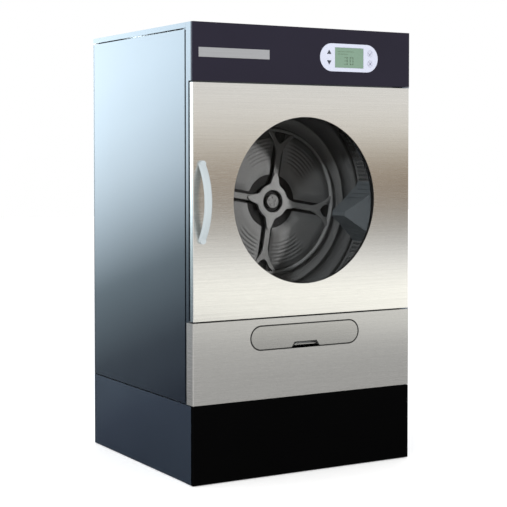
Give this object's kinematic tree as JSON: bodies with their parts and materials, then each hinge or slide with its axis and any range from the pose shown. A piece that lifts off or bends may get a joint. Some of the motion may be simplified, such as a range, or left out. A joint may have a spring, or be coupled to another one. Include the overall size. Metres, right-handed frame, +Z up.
{
  "type": "industrial tumble dryer",
  "caption": "Free-standing industrial tumble dryer on a plinth, with a glazed hinged door, a belt-driven drum, a lint filter drawer and a key panel.",
  "frame": {"origin": "on the floor, under the middle of the dryer's box", "axes": "+X to the right seen from the front, +Y to the rear, +Z up; the door and keys face -Y"},
  "size_m": [0.985, 1.015, 1.715],
  "materials": {
    "cabinet_slate": "gloss",
    "plinth_black": "satin",
    "stainless": "brushed",
    "galvanised": "spangled zinc",
    "fascia_dark": "satin",
    "bezel_white": "fine grain",
    "lcd": "gloss",
    "circuit_board": "satin",
    "felt": "felt",
    "cast_metal": "painted casting",
    "bright_steel": "machined",
    "black_rubber": "matte",
    "element": "heat tinted",
    "grey_plastic": "fine grain",
    "black_plastic": "fine grain",
    "window_glass": "polished",
    "handle_silver": "satin metallic",
    "drum_steel": "dull, perforated",
    "key_dark": "satin",
    "key_pale": "fine grain",
    "mesh": "woven"
  },
  "bodies": {
    "cabinet": {"base_frame": "galvanised", "levelling_feet": "galvanised", "plinth_front_panel": "plinth_black", "plinth_left_panel": "cabinet_slate", "plinth_right_panel": "cabinet_slate", "front_posts": "cabinet_slate", "left_side_panel": "cabinet_slate", "right_side_panel": "cabinet_slate", "top_cover": "cabinet_slate", "rear_panel": "galvanised", "front_bulkhead": "cabinet_slate", "control_housing": "cabinet_slate", "control_fascia": "fascia_dark", "control_bezel": "bezel_white", "lcd_screen": "lcd", "control_board": "circuit_board", "lower_front_panel": "stainless", "filter_guides": "galvanised", "drum_casing": "galvanised", "drum_front_seal": "felt", "rear_bulkhead": "galvanised", "bearing_housing": "cast_metal", "drum_bearings": "bright_steel", "gearmotor": "cast_metal", "drum_belt": "black_rubber", "fan_housing": "galvanised", "fan_motor": "cast_metal", "exhaust_collar": "galvanised", "heater_box": "galvanised", "heater_elements": "element", "hinge_brackets": "bright_steel", "hinge_pins": "bright_steel", "door_keeper": "bright_steel", "terminal_box": "grey_plastic", "cable_gland": "black_plastic"},
    "door": {"door_skin": "stainless", "door_inner_pan": "stainless", "hinge_blocks": "bright_steel", "window_glass": "window_glass", "inner_glass": "window_glass", "window_seal": "black_rubber", "door_gasket": "black_rubber", "door_handle": "handle_silver", "handle_screws": "bright_steel"},
    "drum": {"drum_shell": "drum_steel", "drum_back": "drum_steel", "drum_spider": "drum_steel", "hub_cap": "bright_steel", "drum_lifters": "drum_steel", "drum_shaft": "bright_steel", "drum_pulley": "cast_metal"},
    "motor_rotor": {"motor_pulley": "cast_metal"},
    "fan_rotor": {"fan_impeller": "galvanised"},
    "filter_drawer": {"filter_flap": "stainless", "filter_tray": "galvanised", "filter_mesh": "mesh"},
    "up_key": {"key_up": "key_dark"},
    "down_key": {"key_down": "key_dark"},
    "confirm_key": {"key_confirm": "key_pale"},
    "cancel_key": {"key_cancel": "key_pale"}
  },
  "joints": [
    {"name": "door_hinge", "type": "hinge", "parent": "cabinet", "child": "door", "pos_m": [0.478, -0.436, 1.052], "axis": [0, 0, 1], "range_deg": [0, 170]},
    {"name": "drum_spin", "type": "hinge", "parent": "cabinet", "child": "drum", "pos_m": [0, 0, 1.041], "axis": [0, 1, 0], "continuous": true},
    {"name": "motor_spin", "type": "hinge", "parent": "cabinet", "child": "motor_rotor", "pos_m": [0.33, 0.2875, 0.791], "axis": [0, 1, 0], "continuous": true},
    {"name": "fan_spin", "type": "hinge", "parent": "cabinet", "child": "fan_rotor", "pos_m": [0, 0.24, 0.48], "axis": [1, 0, 0], "continuous": true},
    {"name": "filter_slide", "type": "slide", "parent": "cabinet", "child": "filter_drawer", "axis": [0, -1, 0], "range_m": [0, 0.35]},
    {"name": "up_press", "type": "slide", "parent": "cabinet", "child": "up_key", "axis": [0, 1, 0], "range_m": [0, 0.0008], "stiffness_N_per_m": 600, "springref_m": -0.0005},
    {"name": "down_press", "type": "slide", "parent": "cabinet", "child": "down_key", "axis": [0, 1, 0], "range_m": [0, 0.0008], "stiffness_N_per_m": 600, "springref_m": -0.0005},
    {"name": "confirm_press", "type": "slide", "parent": "cabinet", "child": "confirm_key", "axis": [0, 1, 0], "range_m": [0, 0.0008], "stiffness_N_per_m": 600, "springref_m": -0.0005},
    {"name": "cancel_press", "type": "slide", "parent": "cabinet", "child": "cancel_key", "axis": [0, 1, 0], "range_m": [0, 0.0008], "stiffness_N_per_m": 600, "springref_m": -0.0005}
  ],
  "couplings": [
    {"joint": "motor_spin", "follows": "drum_spin", "ratio": 5}
  ]
}
